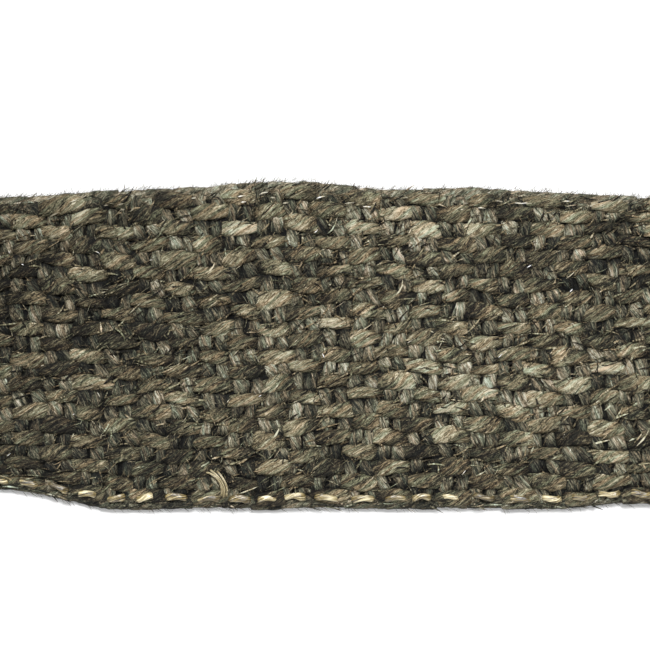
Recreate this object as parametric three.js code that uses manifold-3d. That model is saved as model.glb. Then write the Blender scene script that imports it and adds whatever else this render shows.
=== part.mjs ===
import * as THREE from 'three';
import { mergeVertices } from 'three/addons/utils/BufferGeometryUtils.js';
import Module from 'manifold-3d';

// Exhaust heat wrap: a woven basalt tape that is wound into a roll, with its last stretch laid out flat.
// The flat stretch lies on the floor along X with its free end at +X, and the roll stands on its rim at -X.
// Sizes are in millimetres and +Z is up. The pieces are made with the roll standing over x = 0,
// and the group then brings the middle of the whole object over the origin.

// Driving dimensions of the tape
const tapeWidth = 50;
const tapeThickness = 2;
const tapeLength = 5000;
const flatLength = 188;
const edgeRounding = 0.6;

// Driving dimensions of the roll
const woundThickness = 1.95;
const boreRadius = 17.5;
const stepsPerTurn = 28;

// Driving dimensions of the lock thread along the lower edge
const threadDiameter = 0.5;
const threadInset = 1.7;
const threadProud = 0.1;
const threadSides = 8;
const clearance = 0.3;

// Corners that the cuts leave closer together than this become one
const cornerMerge = 0.005;

// Slow waves of the hand-laid edges. Each is placed by its distance from the free end, reaches equally far
// to both sides of that place, and is as high there as it says, with a minus sign where it hangs down.
const endDipPlace = 20;
const endDipHeight = -1.3;
const bulgePlace = 76;
const bulgeReach = 17;
const bulgeHeight = 1.2;
const rollDipPlace = 121;
const rollDipHeight = -1.2;
const dipReach = 27;
const endLiftPlace = 22;
const endLiftReach = 12;
const endLiftHeight = 0.8;
const rollLiftPlace = 122;
const rollLiftReach = 21;
const rollLiftHeight = 3.1;
const edgeStep = 4;

// Worked-out sizes
const rolledLength = tapeLength - flatLength;
const rollRadius = Math.sqrt(boreRadius ** 2 + (rolledLength * woundThickness) / Math.PI);
const turns = (rollRadius - boreRadius) / woundThickness;
const flatChamfer = Math.min(edgeRounding, 0.45 * tapeThickness);
const woundChamfer = Math.min(edgeRounding, 0.45 * woundThickness);

const wasm = await Module();
wasm.setup();

function toSolid(geometry) {
  geometry.deleteAttribute('normal');
  geometry.deleteAttribute('uv');
  const merged = mergeVertices(geometry);
  return new wasm.Manifold(new wasm.Mesh({
    numProp: 3,
    vertProperties: new Float32Array(merged.attributes.position.array),
    triVerts: new Uint32Array(merged.index.array),
  }));
}

function toGeometry(solid) {
  const { vertProperties, triVerts } = solid.getMesh();
  const geometry = new THREE.BufferGeometry();
  geometry.setAttribute('position', new THREE.BufferAttribute(vertProperties, 3));
  geometry.setIndex(new THREE.BufferAttribute(triVerts, 1));
  geometry.computeVertexNormals();
  return geometry;
}

// The face between two turns: it starts on the floor under the roll's centre, climbs the -X side,
// and comes one wound thickness closer to the centre with each turn.
class TurnSpiral extends THREE.Curve {
  constructor(fromTurn, toTurn) {
    super();
    this.fromTurn = fromTurn;
    this.toTurn = toTurn;
  }

  getPoint(t, target = new THREE.Vector3()) {
    const turn = THREE.MathUtils.lerp(this.fromTurn, this.toTurn, t);
    const angle = 2 * Math.PI * turn;
    const radius = rollRadius - woundThickness * turn;
    return target.set(-radius * Math.sin(angle), 0, rollRadius - radius * Math.cos(angle));
  }

  // Equal steps of angle, so that the facets of neighbouring turns line up
  getUtoTmapping(u) {
    return u;
  }

  outline() {
    const steps = Math.round((this.toTurn - this.fromTurn) * stepsPerTurn);
    return this.getPoints(steps).map(({ x, z }) => new THREE.Vector2(x, z));
  }
}

// The roll without its flat stretch: the last turn outside, the bore inside, as wide as the tape
function rollBody() {
  const section = new THREE.Shape(new TurnSpiral(0, 1).outline().reverse());
  section.holes.push(new THREE.Path(new TurnSpiral(turns - 1, turns).outline()));
  const body = new THREE.ExtrudeGeometry(section, { depth: tapeWidth, bevelEnabled: false });
  body.rotateX(Math.PI / 2);
  body.translate(0, tapeWidth / 2, 0);
  return toSolid(body);
}

// The valley between the soft edges of neighbouring turns, as it shows on one end of the roll.
// It runs one step past the first and the last turn, so that it leaves the roll in the open.
function turnValley(side) {
  const past = -side * clearance;
  const valley = new THREE.Shape([
    new THREE.Vector2(0, side * woundChamfer),
    new THREE.Vector2(woundChamfer, 0),
    new THREE.Vector2(woundChamfer, past),
    new THREE.Vector2(-woundChamfer, past),
    new THREE.Vector2(-woundChamfer, 0),
  ]);
  const steps = Math.ceil(turns * stepsPerTurn) + 2;
  const fromTurn = -1 / stepsPerTurn;
  const cutter = new THREE.ExtrudeGeometry(valley, {
    steps,
    extrudePath: new TurnSpiral(fromTurn, fromTurn + steps / stepsPerTurn),
  });
  cutter.translate(0, side * tapeWidth / 2, 0);
  return toSolid(cutter);
}

function wave(x, place, reach, height) {
  const away = Math.min(Math.abs(flatLength - x - place) / reach, 1);
  return height * (0.5 + 0.5 * Math.cos(Math.PI * away));
}

function upperEdge(x) {
  const endDip = wave(x, endDipPlace, dipReach, endDipHeight);
  const bulge = wave(x, bulgePlace, bulgeReach, bulgeHeight);
  const rollDip = wave(x, rollDipPlace, dipReach, rollDipHeight);
  return tapeWidth / 2 + endDip + bulge + rollDip;
}

function lowerEdge(x) {
  const endLift = wave(x, endLiftPlace, endLiftReach, endLiftHeight);
  const rollLift = wave(x, rollLiftPlace, rollLiftReach, rollLiftHeight);
  return -tapeWidth / 2 + endLift + rollLift;
}

function alongFlat(fromX, toX) {
  const steps = Math.ceil((toX - fromX) / edgeStep);
  return Array.from({ length: steps + 1 }, (_, i) => THREE.MathUtils.lerp(fromX, toX, i / steps));
}

// The flat stretch, which runs on under the roll for a short way so that the two are one piece
function flatBody() {
  const stations = alongFlat(-edgeStep, flatLength);
  const lower = stations.map((x) => new THREE.Vector2(x, lowerEdge(x)));
  const upper = stations.map((x) => new THREE.Vector2(x, upperEdge(x))).reverse();
  const body = new THREE.ExtrudeGeometry(new THREE.Shape([...lower, ...upper]), {
    depth: tapeThickness - 2 * flatChamfer,
    bevelThickness: flatChamfer,
    bevelSize: flatChamfer,
    bevelOffset: -flatChamfer,
    bevelSegments: 1,
  });
  body.translate(0, 0, flatChamfer);
  return toSolid(body);
}

// The lock thread starts where the gap under the roll is just high enough for it
const threadTop = tapeThickness + threadProud;
const nipHeight = threadTop + clearance - woundThickness;
const threadStartX = Math.sqrt(2 * rollRadius * nipHeight) + clearance;

function threadRoute(fromX, toX) {
  const z = threadTop - threadDiameter / 2;
  const points = alongFlat(fromX, toX).map((x) => new THREE.Vector3(x, lowerEdge(x) + threadInset, z));
  return new THREE.CatmullRomCurve3(points);
}

function alongThread(section, route) {
  const steps = Math.ceil(route.getLength() / edgeStep);
  return new THREE.ExtrudeGeometry(section, { steps, extrudePath: route });
}

// The thread is bedded in the cloth, in a channel that is open at the top and at the free end
function threadChannel() {
  const half = threadDiameter / 2 + clearance;
  const section = new THREE.Shape([
    new THREE.Vector2(-half, -half),
    new THREE.Vector2(half, -half),
    new THREE.Vector2(half, half),
    new THREE.Vector2(-half, half),
  ]);
  return toSolid(alongThread(section, threadRoute(threadStartX - clearance, flatLength + clearance)));
}

function selvedgeThread() {
  const section = new THREE.Shape();
  section.absarc(0, 0, threadDiameter / 2, 0, 2 * Math.PI);
  const outline = new THREE.Shape(section.getSpacedPoints(threadSides).slice(0, threadSides));
  return toSolid(alongThread(outline, threadRoute(threadStartX, flatLength - edgeRounding)));
}

const tapeSolid = rollBody()
  .subtract(turnValley(-1))
  .subtract(turnValley(1))
  .add(flatBody())
  .subtract(threadChannel())
  .simplify(cornerMerge);

const wovenTape = new THREE.Mesh(
  toGeometry(tapeSolid),
  new THREE.MeshStandardMaterial({ color: '#5b574a', roughness: 0.85, metalness: 0, flatShading: true }),
);
wovenTape.name = 'woven_tape';

const lockThread = new THREE.Mesh(
  toGeometry(selvedgeThread()),
  new THREE.MeshStandardMaterial({ color: '#b08a45', roughness: 0.35, metalness: 0, flatShading: true }),
);
lockThread.name = 'selvedge_thread';

const { min, max } = tapeSolid.boundingBox();
const heatWrap = new THREE.Group();
heatWrap.position.set(-(min[0] + max[0]) / 2, -(min[1] + max[1]) / 2, 0);
heatWrap.add(wovenTape, lockThread);

export default heatWrap;
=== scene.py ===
import math

import bpy
import numpy as np
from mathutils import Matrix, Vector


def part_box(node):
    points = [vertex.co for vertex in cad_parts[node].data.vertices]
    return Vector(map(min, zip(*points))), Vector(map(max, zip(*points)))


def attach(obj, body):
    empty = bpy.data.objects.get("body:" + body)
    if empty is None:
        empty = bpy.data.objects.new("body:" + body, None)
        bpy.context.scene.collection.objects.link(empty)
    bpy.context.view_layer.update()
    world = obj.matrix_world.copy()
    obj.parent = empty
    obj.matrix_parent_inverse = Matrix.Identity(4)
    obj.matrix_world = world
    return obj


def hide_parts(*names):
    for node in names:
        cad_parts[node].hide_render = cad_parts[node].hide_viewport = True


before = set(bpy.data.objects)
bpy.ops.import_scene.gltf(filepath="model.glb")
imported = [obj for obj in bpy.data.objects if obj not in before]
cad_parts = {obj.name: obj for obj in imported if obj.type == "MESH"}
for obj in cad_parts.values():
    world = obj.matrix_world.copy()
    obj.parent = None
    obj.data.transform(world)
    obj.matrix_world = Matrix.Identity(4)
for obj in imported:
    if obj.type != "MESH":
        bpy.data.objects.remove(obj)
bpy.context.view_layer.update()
MM = 0.001

# The set: a white table in a pale room, under two soft lights.
# The photo looks straight down on the flat stretch of the tape and takes in 101 mm of it.
# The light falls from above and from the far side, so the near edge has a faint shadow.
TAPE_LOW, TAPE_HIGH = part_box("woven_tape")
HALF_WIDTH = 25 * MM
THICKNESS = 2 * MM
FREE_END_X = TAPE_HIGH.x
TAPE_MID_Y = TAPE_LOW.y + HALF_WIDTH
VIEW_FROM_END = 70 * MM
VIEW_WIDTH = 101 * MM
VIEW_ABOVE_MIDDLE = 3.7 * MM
CAMERA_HEIGHT = 350 * MM
SENSOR = 36
FLOOR_SIZE = 6
ROOM_LIGHT = 0.26
WALL_LIGHT = 0.85
WALL_TOP = 0.12
WALL_FADE = 0.3


def linear(hex_colour):
    """An sRGB hex colour as linear RGBA."""
    parts = [int(hex_colour[i:i + 2], 16) / 255 for i in (0, 2, 4)]
    return [c / 12.92 if c <= 0.04045 else ((c + 0.055) / 1.055) ** 2.4 for c in parts] + [1]


def add_node(tree, kind, settings=None, links=None):
    """Adds a node; a key is one of its settings, or a socket's name or number."""
    node = tree.nodes.new(kind)
    for key, value in (settings or {}).items():
        if isinstance(key, int) or key in node.inputs:
            node.inputs[key].default_value = value
        else:
            setattr(node, key, value)
    for key, source in (links or {}).items():
        tree.links.new(source, node.inputs[key])
    return node


def new_material(name):
    """A new material with only its output node."""
    material = bpy.data.materials.new(name)
    material.use_nodes = True
    tree = material.node_tree
    tree.nodes.clear()
    return material, tree, add_node(tree, "ShaderNodeOutputMaterial")


bpy.ops.mesh.primitive_plane_add(size=FLOOR_SIZE, location=(0, 0, 0))
floor = bpy.context.object
floor.name = "floor"
paint, tree, output = new_material("white_matt_table")
coat = add_node(tree, "ShaderNodeBsdfPrincipled", {
    "Base Color": linear("f4f4f4"), "Roughness": 0.9, "Specular IOR Level": 0.2})
tree.links.new(coat.outputs[0], output.inputs["Surface"])
floor.data.materials.append(paint)

scene = bpy.context.scene
scene.view_settings.view_transform = "Standard"
world = bpy.data.worlds.new("pale_room")
world.use_nodes = True
room = world.node_tree
# The walls are paler near the floor, so that a low view has a light background
direction = add_node(room, "ShaderNodeTexCoord").outputs["Generated"]
upward = add_node(room, "ShaderNodeSeparateXYZ", {}, {0: direction}).outputs["Z"]
strength = add_node(room, "ShaderNodeMapRange", {
    "From Min": WALL_TOP, "From Max": WALL_FADE, "To Min": WALL_LIGHT, "To Max": ROOM_LIGHT}, {
    "Value": upward})
room.nodes["Background"].inputs["Color"].default_value = linear("ffffff")
room.links.new(strength.outputs[0], room.nodes["Background"].inputs["Strength"])
scene.world = world

for name, place, spread, power in (
    ("softbox_far_side", (0.05, 0.42, 0.68), 25, 4.35),
    ("softbox_near_left", (-0.5, -0.35, 0.6), 40, 1.3),
):
    light = bpy.data.lights.new(name, "SUN")
    light.angle = math.radians(spread)
    light.energy = power
    lamp = bpy.data.objects.new(name, light)
    lamp.location = place
    lamp.rotation_euler = (-lamp.location).to_track_quat("-Z", "Y").to_euler()
    scene.collection.objects.link(lamp)

camera_data = bpy.data.cameras.new("camera")
camera_data.sensor_width = SENSOR
camera_data.lens = SENSOR * (CAMERA_HEIGHT - THICKNESS) / VIEW_WIDTH
camera = bpy.data.objects.new("camera", camera_data)
camera.location = (FREE_END_X - VIEW_FROM_END, TAPE_MID_Y + VIEW_ABOVE_MIDDLE, CAMERA_HEIGHT)
scene.collection.objects.link(camera)
scene.camera = camera

# The course of the tape: 5 m of it, flat for 188 mm from the free end and then wound up.
# Every yarn is laid out on the unrolled tape first, by its distance from the free end, its place
# across the tape and its height over the cloth's middle, and is then brought into place with it.
TAPE_LENGTH = 5000 * MM
FLAT_LENGTH = 188 * MM
WOUND_THICKNESS = 1.95 * MM
WOUND_SQUEEZE = 0.9
FLOOR_CLEARANCE = 0.03 * MM
ROLL_RADIUS = (TAPE_HIGH.z + WOUND_THICKNESS / 2) / 2
ROLL_X = FREE_END_X - FLAT_LENGTH
STRAIGHT_HALF = 12 * MM
EDGE_ROWS = 23 * MM
END_HOLD = 6 * MM

# Waves of the two edges, in mm: the place, the reach to both sides of it and the height
UPPER_WAVES = ((20, 27, -1.3), (76, 17, 1.2), (121, 27, -1.2))
LOWER_WAVES = ((22, 12, 0.8), (122, 21, 3.1))

# Shifts of the hand-laid cloth, in mm: how far, over what length along and across, and the phase
SHIFTS_ALONG = ((0.5, 17, 9, 0), (0.4, -31, 13, 1.1), (0.4, 4.1, 2.3, 0), (0.25, -3.3, 1.4, 2))
SHIFTS_ACROSS = ((0.25, 9, -14, 0.7), (0.35, 27, 23, 0), (0.3, 2.7, 3.4, 0), (0.15, 1.6, -2.1, 1))


def roll_angle(wound):
    """How far round the roll the tape has gone after this much of it is wound."""
    middle = ROLL_RADIUS - WOUND_THICKNESS / 2
    inward = WOUND_THICKNESS / (2 * math.pi)
    return (middle - np.sqrt(np.maximum(middle ** 2 - 2 * inward * wound, 0))) / inward


def edge_wave(waves, along):
    total = np.zeros_like(along)
    for place, reach, height in waves:
        away = np.minimum(np.abs(along / MM - place) / reach, 1)
        total += height * MM * (0.5 + 0.5 * np.cos(math.pi * away))
    return total


def cloth_shift(shifts, along, across):
    total = np.zeros_like(along)
    for far, length_along, length_across, phase in shifts:
        total += far * np.sin(along / MM / length_along + across / MM / length_across + phase)
    return total * MM


def lay_of_cloth(along, across):
    """The rows wander and the picks bow, slowly and in short waves; the edges hold their line."""
    edge_hold = 1 - np.minimum(np.abs(across) / HALF_WIDTH, 1) ** 4
    return cloth_shift(SHIFTS_ALONG, along, across), cloth_shift(SHIFTS_ACROSS, along, across) * edge_hold


def place_on_tape(along, across, height):
    """Brings points of the unrolled tape into place, on the flat stretch and round the roll."""
    shift_along, shift_across = lay_of_cloth(along, across)
    upper = np.clip((across - STRAIGHT_HALF) / (EDGE_ROWS - STRAIGHT_HALF), 0, 1) ** 2
    lower = np.clip((-across - STRAIGHT_HALF) / (EDGE_ROWS - STRAIGHT_HALF), 0, 1) ** 2
    moved = across + upper * edge_wave(UPPER_WAVES, along) + lower * edge_wave(LOWER_WAVES, along)
    moved = moved + shift_across
    end_fade = np.clip(along / END_HOLD, 0, 1)
    gone = along + shift_along * end_fade
    rolled = gone > FLAT_LENGTH
    angle = roll_angle(np.maximum(gone - FLAT_LENGTH, 0))
    radius = ROLL_RADIUS - WOUND_THICKNESS * (angle / (2 * math.pi) + 0.5) - height * WOUND_SQUEEZE
    x = np.where(rolled, ROLL_X - radius * np.sin(angle), FREE_END_X - gone)
    z = np.where(rolled, ROLL_RADIUS - radius * np.cos(angle), THICKNESS / 2 + height)
    return np.stack([x, TAPE_MID_Y + moved, np.maximum(z, FLOOR_CLEARANCE)], axis=-1)


# The yarn: a thick soft roving of basalt fibre, twisted from about six uneven strands.
# It is matt, olive grey to charcoal with tan strands, and single fibres catch the light.
# A yarn is a tube whose section turns with the twist, so that its strands stand out as ridges.
TWIST_PITCH = 10.5 * MM
STRAND_PAIRS = 3
STRAND_DEPTH = 0.2
STRAND_MEAN = 0.62
STRAND_WANDER = 0.7
STRAND_WANDER_STEP = 3.1 * MM
STRAND_UNEVEN = 0.6
STRAND_UNEVEN_STEP = 5 * MM
LOOSE_DEPTH = 0.15
LOOSE_STEP = 0.95 * MM
LOOSE_SLANT = 2.3 * MM
FIBRE_RADIUS = 1.1
# Painted shade: how much darker yarn is coloured where it lies deep in the cloth
PAINTED_DEPTH_SHADE = 0.42
FACE_HEIGHT = 0.9 * MM
COURSE_VALUES = 4096

# Darker and paler patches, part the cloth's own tone and part painted broad shade and light.
# In mm: the place along and across, the reach both ways, and the strength
TONE_AND_SHADE_PATCHES = (
    (108, 8, 22, 8, -0.16),
    (114, -9, 11, 6, -0.14),
    (110, -18, 18, 6, -0.1),
    (65, -18, 60, 4, -0.12),
    (28, 12, 12, 4, -0.08),
    (88, 0, 12, 6, 0.07),
    (55, -2, 17, 8, 0.14),
    (40, -4, 14, 6, 0.08),
    (24, -4, 9, 9, 0.06),
    (75, 20, 45, 4, 0.12),
)


def random_course(seed, place, step):
    """A smooth random course between -1 and 1 that takes a new value each step."""
    values = np.random.default_rng(seed).uniform(-1, 1, COURSE_VALUES)
    place = np.asarray(place) / step + COURSE_VALUES / 2
    whole = np.floor(place).astype(int)
    part = place - whole
    part = part * part * (3 - 2 * part)
    return values[whole % COURSE_VALUES] * (1 - part) + values[(whole + 1) % COURSE_VALUES] * part


def cloth_tone_and_shade(along, across):
    # Part the cloth's own tone, part painted broad shade and light
    total = 0
    for place, side, reach, side_reach, strength in TONE_AND_SHADE_PATCHES:
        away = ((along / MM - place) / reach) ** 2 + ((across / MM - side) / side_reach) ** 2
        total = total + strength * np.exp(-away)
    return total


def painted_depth_shade(points):
    """Painted shade: how much darker the yarn is coloured, the further it lies below the cloth's two faces.
    """
    sunk = np.clip(1 - np.abs(points[..., 2]) / FACE_HEIGHT, 0, 1)
    inner = np.clip((EDGE_ROWS + 1 * MM - np.abs(points[..., 1])) / (1.5 * MM), 0, 1)
    return PAINTED_DEPTH_SHADE * sunk * inner


def section_angles(over, under):
    """Angles round a section, with as many of them over and under its sides as asked."""
    top = np.linspace(0, math.pi, over, endpoint=False)
    bottom = np.linspace(math.pi, 2 * math.pi, under, endpoint=False)
    return np.concatenate([top, bottom])


def make_yarn(route, half_width, half_height, angles, seed, tone):
    """One yarn along a route of (along, across, height) points, with its fibre places and looks."""
    length = np.concatenate([[0], np.cumsum(np.linalg.norm(np.diff(route, axis=0), axis=1))])
    forward = np.gradient(route, axis=0)
    forward /= np.linalg.norm(forward, axis=1)[:, None]
    side = np.cross([0, 0, 1], forward)
    side /= np.linalg.norm(side, axis=1)[:, None]
    up = np.cross(forward, side)
    turn = angles[None, :] - (2 * math.pi / TWIST_PITCH) * length[:, None] + seed * 1.7
    wobble = STRAND_WANDER * random_course(seed, length, STRAND_WANDER_STEP)[:, None]
    uneven = random_course(seed + 7, length, STRAND_UNEVEN_STEP)[:, None]
    wobble = wobble + STRAND_UNEVEN * np.sin(2 * turn + 2 * uneven)
    strand = np.abs(np.cos(STRAND_PAIRS * turn + wobble)) ** 0.6
    loose = LOOSE_DEPTH * random_course(seed + 13, length[:, None] + turn * LOOSE_SLANT, LOOSE_STEP)
    swell = 1 + STRAND_DEPTH * (strand - STRAND_MEAN) + loose
    offset_side = (half_width[:, None] * np.cos(angles)[None, :] * swell)[..., None]
    offset_up = (half_height[:, None] * np.sin(angles)[None, :] * swell)[..., None]
    points = route[:, None, :] + offset_side * side[:, None, :] + offset_up * up[:, None, :]
    fibre = np.stack([
        FIBRE_RADIUS * np.cos(turn) + seed * 3.7,
        FIBRE_RADIUS * np.sin(turn) + seed * 1.3,
        np.broadcast_to(length[:, None] / MM, turn.shape)], axis=-1)
    # The yarn's colour tone: its own, the broad patches, less the painted shade of depth
    tone = (tone + cloth_tone_and_shade(route[:, 0], route[:, 1]))[:, None] - painted_depth_shade(points)
    return points, fibre, np.stack([tone, strand], axis=-1)


def tube_faces(rings, sides, first):
    """Faces of a closed tube whose corners are numbered ring by ring from first."""
    ring = np.arange(rings - 1)[:, None] * sides
    corner = np.arange(sides)[None, :]
    after = (corner + 1) % sides
    quads = np.stack([ring + corner, ring + after, ring + sides + after, ring + sides + corner], axis=-1)
    faces = (quads.reshape(-1, 4) + first).tolist()
    faces.append([first + i for i in reversed(range(sides))])
    faces.append([first + (rings - 1) * sides + i for i in range(sides)])
    return faces


def join_yarns(name, yarns, material):
    """One piece from many yarns, carried into place along the tape."""
    corners, faces, fibres, looks = [], [], [], []
    first = 0
    for points, fibre, look in yarns:
        rings, sides = points.shape[:2]
        flat = points.reshape(-1, 3)
        corners.append(place_on_tape(flat[:, 0], flat[:, 1], flat[:, 2]))
        fibres.append(fibre.reshape(-1, 3))
        looks.append(look.reshape(-1, 2))
        faces += tube_faces(rings, sides, first)
        first += rings * sides
    mesh = bpy.data.meshes.new(name)
    mesh.from_pydata(np.concatenate(corners).tolist(), [], faces)
    mesh.polygons.foreach_set("use_smooth", np.ones(len(mesh.polygons), bool))
    look = np.concatenate(looks)
    mesh.attributes.new("fibre", "FLOAT_VECTOR", "POINT").data.foreach_set(
        "vector", np.concatenate(fibres).astype(np.float32).ravel())
    for column, title in enumerate(("tone", "ridge_shade")):
        mesh.attributes.new(title, "FLOAT", "POINT").data.foreach_set(
            "value", look[:, column].astype(np.float32))
    mesh.materials.append(material)
    piece = bpy.data.objects.new(name, mesh)
    scene.collection.objects.link(piece)
    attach(piece, "root")
    return piece


# Grain of the yarn's strands, fibres and hairs: cycles per mm across and along, and the curl
YARN_GRAINS = ((0.75, 0.2, 0.7), (3.6, 0.8, 1.2), (7.5, 2.2, 1.4))

# How much the three grains and the strands' ridges count in the colour, and what is taken off their sum;
# the ridges' share is painted shade in the grooves between the strands and painted light on their crests
GRAIN_WEIGHTS = (0.9, 1.15, 1.6, 0.15)
GRAIN_OFFSET = 1.47


def basalt_yarn(name, ramp):
    """Twisted basalt roving, matt: strands of several greys and tans, fine fibres along the twist."""
    material, tree, output = new_material(name)
    fibre = add_node(tree, "ShaderNodeAttribute", {"attribute_name": "fibre"}).outputs["Vector"]
    tone = add_node(tree, "ShaderNodeAttribute", {"attribute_name": "tone"}).outputs["Fac"]
    ridge_shade = add_node(tree, "ShaderNodeAttribute", {"attribute_name": "ridge_shade"}).outputs["Fac"]
    grain = []
    for across, along, curl in YARN_GRAINS:
        place = add_node(tree, "ShaderNodeMapping", {"Scale": (across, across, along)}, {"Vector": fibre})
        grain.append(add_node(tree, "ShaderNodeTexNoise", {"Scale": 1, "Detail": 2, "Distortion": curl}, {
            "Vector": place.outputs[0]}).outputs["Fac"])
    strands, fibres, hairs = grain

    blend = tone
    # The ridge term paints shade into the grooves between the strands and light on their crests
    for source, weight in zip((strands, fibres, hairs, ridge_shade), GRAIN_WEIGHTS):
        blend = add_node(tree, "ShaderNodeMath", {"operation": "MULTIPLY_ADD", 1: weight}, {
            0: source, 2: blend}).outputs[0]
    blend = add_node(tree, "ShaderNodeMath", {"operation": "SUBTRACT", 1: GRAIN_OFFSET}, {0: blend})
    colours = add_node(tree, "ShaderNodeValToRGB", {}, {"Fac": blend.outputs[0]})
    # The palest stop is partly the fibres' own pale tan and partly a painted glint on the brightest fibres
    stops = colours.color_ramp.elements
    stops[0].position, stops[0].color = 0.05, linear(ramp[0])
    stops[1].position, stops[1].color = 1.0, linear(ramp[-1])
    for position, colour in zip((0.32, 0.52, 0.78), ramp[1:-1]):
        stops.new(position).color = linear(colour)

    elsewhere = add_node(tree, "ShaderNodeMapping", {"Location": (7, 3, 5), "Scale": (1.6, 1.6, 0.2)}, {
        "Vector": fibre})
    cast = add_node(tree, "ShaderNodeTexNoise", {"Scale": 1, "Detail": 1}, {"Vector": elsewhere.outputs[0]})
    casts = add_node(tree, "ShaderNodeValToRGB", {}, {"Fac": cast.outputs["Fac"]})
    stops = casts.color_ramp.elements
    stops[0].position, stops[0].color = 0.34, linear("e0efe7")
    stops[1].position, stops[1].color = 0.66, linear("ffefe1")
    stops.new(0.5).color = linear("fbfaf2")
    dyed = add_node(tree, "ShaderNodeMix", {"data_type": "RGBA", "blend_type": "MULTIPLY", 0: 1.0}, {
        6: colours.outputs["Color"], 7: casts.outputs["Color"]})

    height = add_node(tree, "ShaderNodeMath", {"operation": "MULTIPLY_ADD", 1: 0.7}, {0: hairs, 2: fibres})
    bump = add_node(tree, "ShaderNodeBump", {"Strength": 1.0, "Distance": 0.28 * MM}, {
        "Height": height.outputs[0]})
    gloss = add_node(tree, "ShaderNodeMapRange", {
        "From Min": 0.45, "From Max": 0.7, "To Min": 0.85, "To Max": 0.5}, {"Value": hairs})
    coat = add_node(tree, "ShaderNodeBsdfPrincipled", {"IOR": 1.5, "Specular IOR Level": 0.25}, {
        "Base Color": dyed.outputs[2], "Roughness": gloss.outputs[0], "Normal": bump.outputs[0]})
    tree.links.new(coat.outputs[0], output.inputs["Surface"])
    return material


# The warp: 22 thick yarns that run the whole length of the tape, 2.2 mm apart.
# Each goes over two picks and under two, and its neighbours do the opposite, which is a plain weave
# with double picks. Over the picks it swells into a float of about 5 mm.
WARP_COUNT = 22
WARP_PITCH = 2.2 * MM
WARP_SPAN = (WARP_COUNT - 1) * WARP_PITCH
PICK_PITCH = 2.37 * MM
SHED = 2 * PICK_PITCH
PICK_FIRST = 0.6
SHED_MIDDLE = (PICK_FIRST + 0.5) / 2
CRIMP = 0.48 * MM
FLOAT_BIAS = 0.3
YARN_DRIFT = 0.34 * MM
WARP_LIFT_UNEVEN = 0.17 * MM
WARP_HALF_WIDTH = 0.8 * MM
WARP_WIDTH_SWELL = 0.38 * MM
WARP_WIDTH_UNEVEN = 0.26 * MM
WARP_HALF_HEIGHT = 0.5 * MM
WARP_HEIGHT_SWELL = 0.14 * MM
WARP_HEIGHT_UNEVEN = 0.06 * MM
NEAR_FROM = 16 * MM
NEAR_TO = 124 * MM
OUTER_TURN_TO = FLAT_LENGTH + 362 * MM
NEAR_SECTION = section_angles(12, 2)
FAR_SECTION = section_angles(3, 5)
NEAR_STEP = 0.42 * MM
FAR_STEP = 1.4 * MM


def spaced(start, stop, step):
    return np.linspace(start, stop, max(int(round((stop - start) / step)), 2) + 1)


def warp_yarn(row, start, stop, step, angles):
    along = spaced(start, stop, step)
    uneven = random_course(100 + row, along, SHED)
    drift = YARN_DRIFT * random_course(200 + row, along, 5 * MM)
    late = 0.15 * random_course(1200 + row, along, 1.3 * SHED)
    over = np.cos(math.pi * (along / SHED - SHED_MIDDLE + row % 2 + late))
    lift = np.sin(np.clip(over + FLOAT_BIAS, -1, 1) * math.pi / 2)
    height = CRIMP * lift + WARP_LIFT_UNEVEN * uneven
    swell = 0.5 + 0.5 * over
    half_width = WARP_HALF_WIDTH + WARP_WIDTH_SWELL * swell + WARP_WIDTH_UNEVEN * uneven
    half_height = WARP_HALF_HEIGHT + WARP_HEIGHT_SWELL * swell
    half_height = half_height + WARP_HEIGHT_UNEVEN * random_course(300 + row, along, 4 * MM)
    tone = 0.26 * random_course(400 + row, along, SHED) + 0.06 * random_course(500 + row, along, 60 * MM)
    route = np.stack([along, -WARP_SPAN / 2 + row * WARP_PITCH + drift, height], axis=-1)
    return make_yarn(route, half_width, half_height, angles, row, tone)


# The last, palest colour is partly a painted glint of single fibres
warp_basalt = basalt_yarn("basalt_roving_warp", ("0b0a08", "37332a", "6c6550", "9b927a", "cfc9b6"))
half = WARP_COUNT // 2
for title, rows in (("lower", range(half)), ("upper", range(half, WARP_COUNT))):
    yarns = [warp_yarn(row, NEAR_FROM, NEAR_TO, NEAR_STEP, NEAR_SECTION) for row in rows]
    join_yarns(f"warp_yarns_flat_{title}", yarns, warp_basalt)
cut = np.random.default_rng(5).uniform(-1.2 * MM, 0.9 * MM, WARP_COUNT)
yarns = [warp_yarn(row, cut[row], NEAR_FROM, NEAR_STEP, NEAR_SECTION[::2]) for row in range(WARP_COUNT)]
join_yarns("warp_yarns_free_end", yarns, warp_basalt)
yarns = [warp_yarn(row, NEAR_TO, OUTER_TURN_TO, FAR_STEP, FAR_SECTION) for row in range(WARP_COUNT)]
join_yarns("warp_yarns_outer_turn", yarns, warp_basalt)

# The weft: one yarn that goes to and fro across the tape, a little flatter and cooler in tone.
# It crosses in double picks, shows between the warp floats as short steep bits two abreast,
# and turns round at each edge in broad loops, which are the tape's soft rim, with painted light on the upper
# rim and painted shade on the lower.
WEFT_TURN = 23.1 * MM
WEFT_HALF_WIDTH = 1.02 * MM
WEFT_HALF_HEIGHT = 0.5 * MM
WEFT_HEIGHT_UNEVEN = 0.06 * MM
LOOP_REACH = 0.8 * MM
LOOP_UNEVEN = 0.12 * MM
# Painted light on the upper rim's loops and painted shade on the lower rim's loops
RIM_PAINTED_LIGHT_AND_SHADE = 0.1
LOOP_FLATNESS = 0.12
LOOP_SPREAD = 2.35


def pick_place(pick):
    return (pick + PICK_FIRST) * PICK_PITCH


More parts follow.
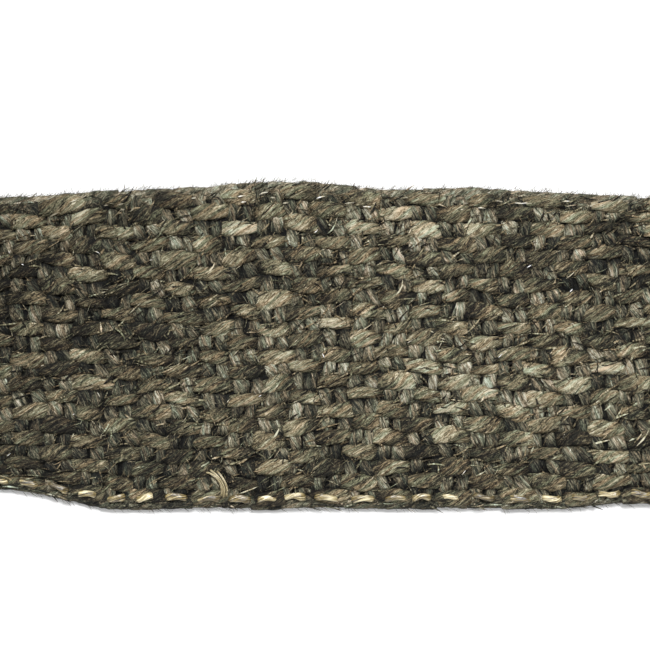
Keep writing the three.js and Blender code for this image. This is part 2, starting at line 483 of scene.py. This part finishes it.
def weft_height(shed, across, lift):
    """Over the warps that are down in this shed and under the others."""
    row = (across + WARP_SPAN / 2) / WARP_PITCH
    wave = np.cos(math.pi * (row + shed))
    fade = np.clip((HALF_WIDTH - 1.2 * MM - np.abs(across)) / (1.6 * MM), 0, 1)
    return -lift * np.sin(wave * math.pi / 2) * fade


def loop_route(pick, outward, bend):
    """The points of the broad loop that joins this pick to the next at one edge."""
    radius = PICK_PITCH / 2
    reach = LOOP_REACH + LOOP_UNEVEN * math.sin(pick * 2.4)
    return np.stack([
        pick_place(pick) + radius - radius * LOOP_SPREAD * np.cos(bend),
        outward * (WEFT_TURN + reach * np.sin(bend) ** LOOP_FLATNESS),
        0.15 * MM * np.sin(bend) * math.sin(pick * 1.7)], axis=-1)


def weft_yarn(first_pick, last_pick, step, turn_steps, angles, seed):
    """Picks first to last as one yarn, joined by the loops at the edges."""
    route, tone, width = [], [], []
    for pick in range(first_pick, last_pick + 1):
        outward = 1 if pick % 2 else -1
        across = spaced(-WEFT_TURN, WEFT_TURN, step) * outward
        along = pick_place(pick) + YARN_DRIFT * random_course(600 + pick, across, 4 * MM)
        height = weft_height(pick // 2, across, CRIMP)
        height = height + 0.1 * MM * random_course(700 + pick, across, WARP_PITCH)
        route.append(np.stack([along, across, height], axis=-1))
        tone.append(0.3 * random_course(800 + pick, across, WARP_PITCH))
        width.append(1 + 0.2 * random_course(1000 + pick, across, WARP_PITCH))
        if pick < last_pick:
            bend = np.linspace(0, math.pi, turn_steps + 2)[1:-1]
            route.append(loop_route(pick, outward, bend))
            # The loops get painted light at the upper edge and painted shade at the lower edge
            tone.append(np.full(turn_steps, 0.1 * math.sin(pick * 5.1) + RIM_PAINTED_LIGHT_AND_SHADE * outward))
            width.append(np.full(turn_steps, 0.98))
    route = np.concatenate(route)
    tone = np.concatenate(tone)
    half_width = WEFT_HALF_WIDTH * np.concatenate(width)
    half_height = WEFT_HALF_HEIGHT + WEFT_HEIGHT_UNEVEN * random_course(seed, np.arange(len(route)), 9)
    return make_yarn(route, half_width, half_height, angles, seed, tone)


def first_pick_after(along):
    return math.ceil(along / PICK_PITCH - PICK_FIRST)


# The last, palest colour is partly a painted glint of single fibres
weft_basalt = basalt_yarn("basalt_roving_weft", ("0a0b0c", "33332c", "646051", "96907d", "cdcabf"))
NEAR_PICKS = (first_pick_after(NEAR_FROM), first_pick_after(NEAR_TO))
LAST_OUTER_PICK = first_pick_after(OUTER_TURN_TO)
yarn = weft_yarn(NEAR_PICKS[0], NEAR_PICKS[1], NEAR_STEP, 9, section_angles(10, 3), 31)
join_yarns("weft_yarn_flat", [yarn], weft_basalt)
yarn = weft_yarn(0, NEAR_PICKS[0] - 1, NEAR_STEP, 6, section_angles(6, 3), 32)
join_yarns("weft_yarn_free_end", [yarn], weft_basalt)
yarn = weft_yarn(NEAR_PICKS[1] + 1, LAST_OUTER_PICK, FAR_STEP, 5, section_angles(3, 4), 33)
join_yarns("weft_yarn_outer_turn", [yarn], weft_basalt)

# The rims of the wound turns: on each end of the roll only the weft's loops and the outermost warp
# of every turn show. They are the same yarns as outside, so they have the same places and twist,
# with fewer corners, and a loop has only the short legs that can be seen.
RIM_SECTION = section_angles(2, 2)
RIM_STEP = 1.6 * MM
RIM_LEG = 1.3 * MM


def rim_loop(pick, outward):
    bend = np.linspace(0, math.pi, 5)
    loop = loop_route(pick, outward, bend)
    leg = np.array([0, outward * RIM_LEG, 0])
    route = np.concatenate([loop[:1] - leg, loop, loop[-1:] - leg])
    size = np.full(len(route), 0.98 * MM)
    tone = np.full(len(route), 0.16 * math.sin(pick * 5.1))
    return make_yarn(route, size, 0.74 * size, RIM_SECTION, pick % 97, tone)


def rim_warp(row):
    along = spaced(OUTER_TURN_TO, TAPE_LENGTH, RIM_STEP)
    height = CRIMP * np.cos(math.pi * (along / SHED - SHED_MIDDLE + row % 2))
    tone = 0.15 * random_course(400 + row, along, SHED)
    route = np.stack([along, 0 * along - WARP_SPAN / 2 + row * WARP_PITCH, height], axis=-1)
    size = np.full(len(along), 1.0 * MM)
    return make_yarn(route, size, 0.66 * size, RIM_SECTION, row, tone)


LAST_PICK = first_pick_after(TAPE_LENGTH) - 2
for title, outward, row in (("lower", -1, 0), ("upper", 1, WARP_COUNT - 1)):
    picks = [pick for pick in range(LAST_OUTER_PICK, LAST_PICK) if pick % 2 == (outward + 1) // 2]
    loops = [rim_loop(pick, outward) for pick in picks]
    join_yarns(f"weft_rim_{title}", loops, weft_basalt)
    join_yarns(f"warp_rim_{title}", [rim_warp(row)], warp_basalt)

# The innermost turn, whose inner face shows in the bore of the roll.
# It is the end that was wound first, cut square like the free end.
BORE_TURN_FROM = TAPE_LENGTH - 120 * MM
BORE_SECTION = section_angles(4, 2)
BORE_STEP = 1.2 * MM
rows = range(1, WARP_COUNT - 1)
yarns = [warp_yarn(row, BORE_TURN_FROM, TAPE_LENGTH, BORE_STEP, BORE_SECTION) for row in rows]
join_yarns("warp_yarns_bore_turn", yarns, warp_basalt)
yarn = weft_yarn(first_pick_after(BORE_TURN_FROM), LAST_PICK, BORE_STEP, 4, BORE_SECTION, 34)
join_yarns("weft_yarn_bore_turn", [yarn], weft_basalt)

# The lock thread: a flat golden filament yarn that runs through the weft's loops along the lower edge.
# It lies on top of each loop as a short glossy dash and dives between the loops to the other face.
# Near the roll it stands up in a small arch, and further on some filaments have come loose in a tuft.
THREAD_INSET = 1.75 * MM
THREAD_HALF_WIDTH = 0.46 * MM
THREAD_HALF_HEIGHT = 0.26 * MM
THREAD_STEP = 0.32 * MM
DASH_SHARE = 0.5
DASH_LIFT = 1.16 * MM
DASH_SHARPNESS = 3.2
BIT_RINGS = 12

# Four points of each loose bit, in mm along, across and over the middle: the tuft, then the arch
LOOSE_BITS = (
    ((88.8, -19.4, 0.9), (87.2, -19.5, 1.5), (86.1, -20.9, 1.6), (86.2, -23.0, 0.8)),
    ((87.9, -19.0, 0.9), (86.9, -19.7, 1.5), (85.8, -20.9, 1.6), (85.8, -23.1, 0.8)),
    ((86.7, -19.3, 0.9), (86.0, -20.2, 1.4), (85.5, -21.2, 1.5), (85.4, -23.0, 0.8)),
    ((123.0, -23.3, 0.6), (121.6, -21.9, 1.7), (120.0, -21.9, 1.7), (118.7, -23.6, 0.5)),
)


def filament_thread(name, painted_shade, body, painted_highlight):
    """Glossy multifilament: fine long filaments, with painted highlights and painted shade along them."""
    material, tree, output = new_material(name)
    fibre = add_node(tree, "ShaderNodeAttribute", {"attribute_name": "fibre"}).outputs["Vector"]
    tone = add_node(tree, "ShaderNodeAttribute", {"attribute_name": "tone"}).outputs["Fac"]
    place = add_node(tree, "ShaderNodeMapping", {"Scale": (3.4, 3.4, 0.4)}, {"Vector": fibre})
    filaments = add_node(tree, "ShaderNodeTexNoise", {"Scale": 1.0, "Detail": 2}, {
        "Vector": place.outputs[0]})
    blend = add_node(tree, "ShaderNodeMath", {"operation": "ADD"}, {0: filaments.outputs["Fac"], 1: tone})
    colours = add_node(tree, "ShaderNodeValToRGB", {}, {"Fac": blend.outputs[0]})
    # Painted shade, body colour and painted highlight along the filaments
    stops = colours.color_ramp.elements
    stops[0].position, stops[0].color = 0.36, linear(painted_shade)
    stops[1].position, stops[1].color = 0.66, linear(painted_highlight)
    stops.new(0.5).color = linear(body)
    bump = add_node(tree, "ShaderNodeBump", {"Strength": 0.9, "Distance": 0.12 * MM}, {
        "Height": filaments.outputs["Fac"]})
    coat = add_node(tree, "ShaderNodeBsdfPrincipled", {
        "IOR": 1.55, "Roughness": 0.28, "Specular IOR Level": 0.8}, {
        "Base Color": colours.outputs["Color"], "Normal": bump.outputs[0]})
    tree.links.new(coat.outputs[0], output.inputs["Surface"])
    return material


def lock_thread():
    along = spaced(0.6 * MM, OUTER_TURN_TO, THREAD_STEP)
    shed = along / SHED - SHED_MIDDLE
    share = DASH_SHARE + 0.3 * random_course(904, along, SHED)
    dash = np.tanh(DASH_SHARPNESS * (np.cos(2 * math.pi * shed) + share))
    dash = dash / math.tanh(DASH_SHARPNESS * (1 + DASH_SHARE))
    across = -HALF_WIDTH + THREAD_INSET + 0.3 * MM * random_course(901, along, SHED)
    across = across + 0.2 * MM * np.sin(2 * math.pi * shed + 3 * random_course(902, along, 20 * MM))
    height = (DASH_LIFT + 0.1 * MM * random_course(905, along, SHED)) * dash
    route = np.stack([along, across, height], axis=-1)
    width = THREAD_HALF_WIDTH * (1 + 0.25 * random_course(903, along, SHED / 3))
    tone = 0.1 * random_course(906, along, SHED / 2)
    return make_yarn(route, width, np.full(len(along), THREAD_HALF_HEIGHT), section_angles(5, 4), 3, tone)


def loose_bit(points):
    """A short thread end that bends smoothly between four points."""
    part = np.linspace(0, 1, BIT_RINGS)[:, None]
    first, second, third, last = np.array(points) * MM
    route = (1 - part) ** 3 * first + 3 * part * (1 - part) ** 2 * second
    route = route + 3 * part ** 2 * (1 - part) * third + part ** 3 * last
    size = np.full(BIT_RINGS, 0.17 * MM)
    tone = np.full(BIT_RINGS, 0.08)
    return make_yarn(route, size, size * 0.7, section_angles(4, 3), 5, tone)


golden_filament = filament_thread("golden_filament_thread", "2e2616", "8a7849", "e9dfba")
threads = [lock_thread()] + [loose_bit(points) for points in LOOSE_BITS]
thread = join_yarns("selvedge_thread_dashes", threads, golden_filament)
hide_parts("selvedge_thread")

# The fuzz: thin strands and single fibres that have worked loose from the soft yarn.
# They lie along the twist, cross the gaps, and stand out along the edges and the cut end.
# A few bright ones, coloured pale up to white as painted glints, lie near the upper edge and here and there
# on the face.
FIBRE_RINGS = 4


def fibres(seed, count, along, across, height, lean, length, thickness, rise, bend, sides=3):
    """Loose fibres that start in the given ranges (mm), lean as asked (degrees) and bend at random."""
    rng = np.random.default_rng(seed)
    start = np.stack([rng.uniform(*r, count) for r in (along, across, height)], axis=-1) * MM
    part = np.linspace(0, 1, FIBRE_RINGS)
    angle = np.radians(rng.normal(*lean, count))[:, None] + rng.normal(0, bend, count)[:, None] * part
    travel = rng.uniform(*length, count)[:, None] * MM / (FIBRE_RINGS - 1) * np.ones(FIBRE_RINGS)
    travel[:, 0] = 0
    out = np.cumsum(travel * np.cos(angle), axis=1)
    sideways = np.cumsum(travel * np.sin(angle), axis=1)
    lift = rng.uniform(*rise, count)[:, None] * MM * np.sin(math.pi * part)
    route = np.stack([start[:, :1] - out, start[:, 1:2] + sideways, start[:, 2:] + lift], axis=-1)
    size = rng.uniform(*thickness, count)[:, None] * MM * (1 - 0.8 * np.abs(2 * part - 0.8)).clip(0.15)
    turn = np.linspace(0, 2 * math.pi, sides, endpoint=False)
    normal = np.stack([np.sin(angle), np.cos(angle), 0 * angle], axis=-1)[:, :, None, :]
    ring = np.cos(turn)[:, None] * normal + np.sin(turn)[:, None] * np.array([0, 0, 1.0])
    points = route[:, :, None, :] + size[:, :, None, None] * ring
    tone = rng.normal(-0.05, 0.18, count)[:, None, None] + 0 * points[..., 0]
    looks = np.stack([tone, 0 * tone + 0.6], axis=-1)
    fibre = np.stack([tone * 40, tone * 23, np.broadcast_to(part[None, :, None] * 3, tone.shape)], axis=-1)
    return [(points[i], fibre[i], looks[i]) for i in range(count)]


face = (-23, 23)
near = (NEAR_FROM / MM, NEAR_TO / MM)
wisp = (0.02, 0.045)
hair = (0.03, 0.065)
tuft = (0.04, 0.1)
top = (0.55, 1.1)
loose = fibres(1, 2300, near, face, top, (28, 18), (1.0, 3.0), tuft, (0, 0.2), 0.5)
loose += fibres(2, 1200, near, face, top, (108, 20), (0.7, 1.8), tuft, (0, 0.2), 0.5)
loose += fibres(8, 1300, near, face, (0.6, 1.1), (26, 16), (1.4, 3.6), (0.1, 0.22), (0, 0.25), 0.5, 5)
loose += fibres(9, 700, near, face, (0.5, 1.0), (104, 18), (1.0, 2.0), (0.1, 0.2), (0, 0.25), 0.5, 5)
fuzz_pieces = [join_yarns("loose_fibres_flat", loose, warp_basalt)]
rim_height = (-0.6, 0.7)
loose = fibres(3, 1900, near, (24.0, 25.0), rim_height, (38, 32), (0.5, 1.6), wisp, (0, 0.2), 0.9)
loose += fibres(4, 700, near, (-25.0, -24.0), rim_height, (-5, 18), (0.8, 2.2), wisp, (0, 0.2), 0.5)
loose += fibres(6, 160, (-0.8, 1.5), (-24, 24), rim_height, (0, 25), (0.8, 2.2), hair, (0, 0.3), 0.5)
loose += fibres(11, 320, near, (22.8, 24.3), (0.2, 0.8), (18, 14), (0.9, 2.2), (0.1, 0.18), (0, 0.1), 0.4, 5)
loose += fibres(12, 260, near, (-24.6, -23.6), (-0.2, 0.6), (2, 8), (1.5, 3.5), (0.12, 0.2), (0, 0.1), 0.3, 5)
fuzz_pieces.append(join_yarns("loose_fibres_edges", loose, weft_basalt))
pale_filament = filament_thread("pale_filament_painted_glints", "8d8672", "cfc7ae", "ffffff")
loose = fibres(7, 22, near, (21.6, 23.8), (1.15, 1.3), (8, 10), (0.7, 1.5), (0.1, 0.17), (0, 0.15), 0.15)
loose += fibres(10, 40, near, face, (1.05, 1.2), (60, 40), (0.4, 1.1), (0.07, 0.12), (0, 0.1), 0.15)
fuzz_pieces.append(join_yarns("pale_filament_painted_glints", loose, pale_filament))

# The heart of the cloth: the packed fibres between the two layers of yarn, all 5 m of it.
# Its colour is darkened as painted shade, which is the dark ground in the gaps of the weave.
# In the roll, where the turns press on each other, it fills the whole thickness of each turn,
# so that no light comes through between them.
HEART_HALF_WIDTH = 23.4 * MM
HEART_THIN = 0.3 * MM
HEART_THICK = 1.15 * MM
HEART_ROLL_STEP = 5 * MM
HEART_FLAT_STEP = 4 * MM
HEART_END_GAP = 1.5 * MM
HEART_SWELL = 20 * MM
HEART_PAINTED_SHADE = -0.35


def cloth_heart():
    along = np.concatenate([
        spaced(HEART_END_GAP, FLAT_LENGTH, HEART_FLAT_STEP)[:-1],
        spaced(FLAT_LENGTH, TAPE_LENGTH, HEART_ROLL_STEP)])
    inside = np.clip((along - OUTER_TURN_TO) / HEART_SWELL, 0, 1)
    inside = inside * np.clip((BORE_TURN_FROM - along) / HEART_SWELL, 0, 1)
    half_height = HEART_THIN + (HEART_THICK - HEART_THIN) * inside
    corners = np.array(((-1, -1), (0, -1), (1, -1), (1, 1), (0, 1), (-1, 1)))
    points = np.stack([
        np.repeat(along[:, None], len(corners), axis=1),
        np.repeat(corners[None, :, 0] * HEART_HALF_WIDTH, len(along), axis=0),
        half_height[:, None] * corners[None, :, 1]], axis=-1)
    # Painted shade: the heart is coloured dark for the gaps of the weave
    looks = np.full(points.shape[:2] + (2,), HEART_PAINTED_SHADE)
    return points, points / MM, looks


heart = join_yarns("woven_tape_heart", [cloth_heart()], weft_basalt)
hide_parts("woven_tape")
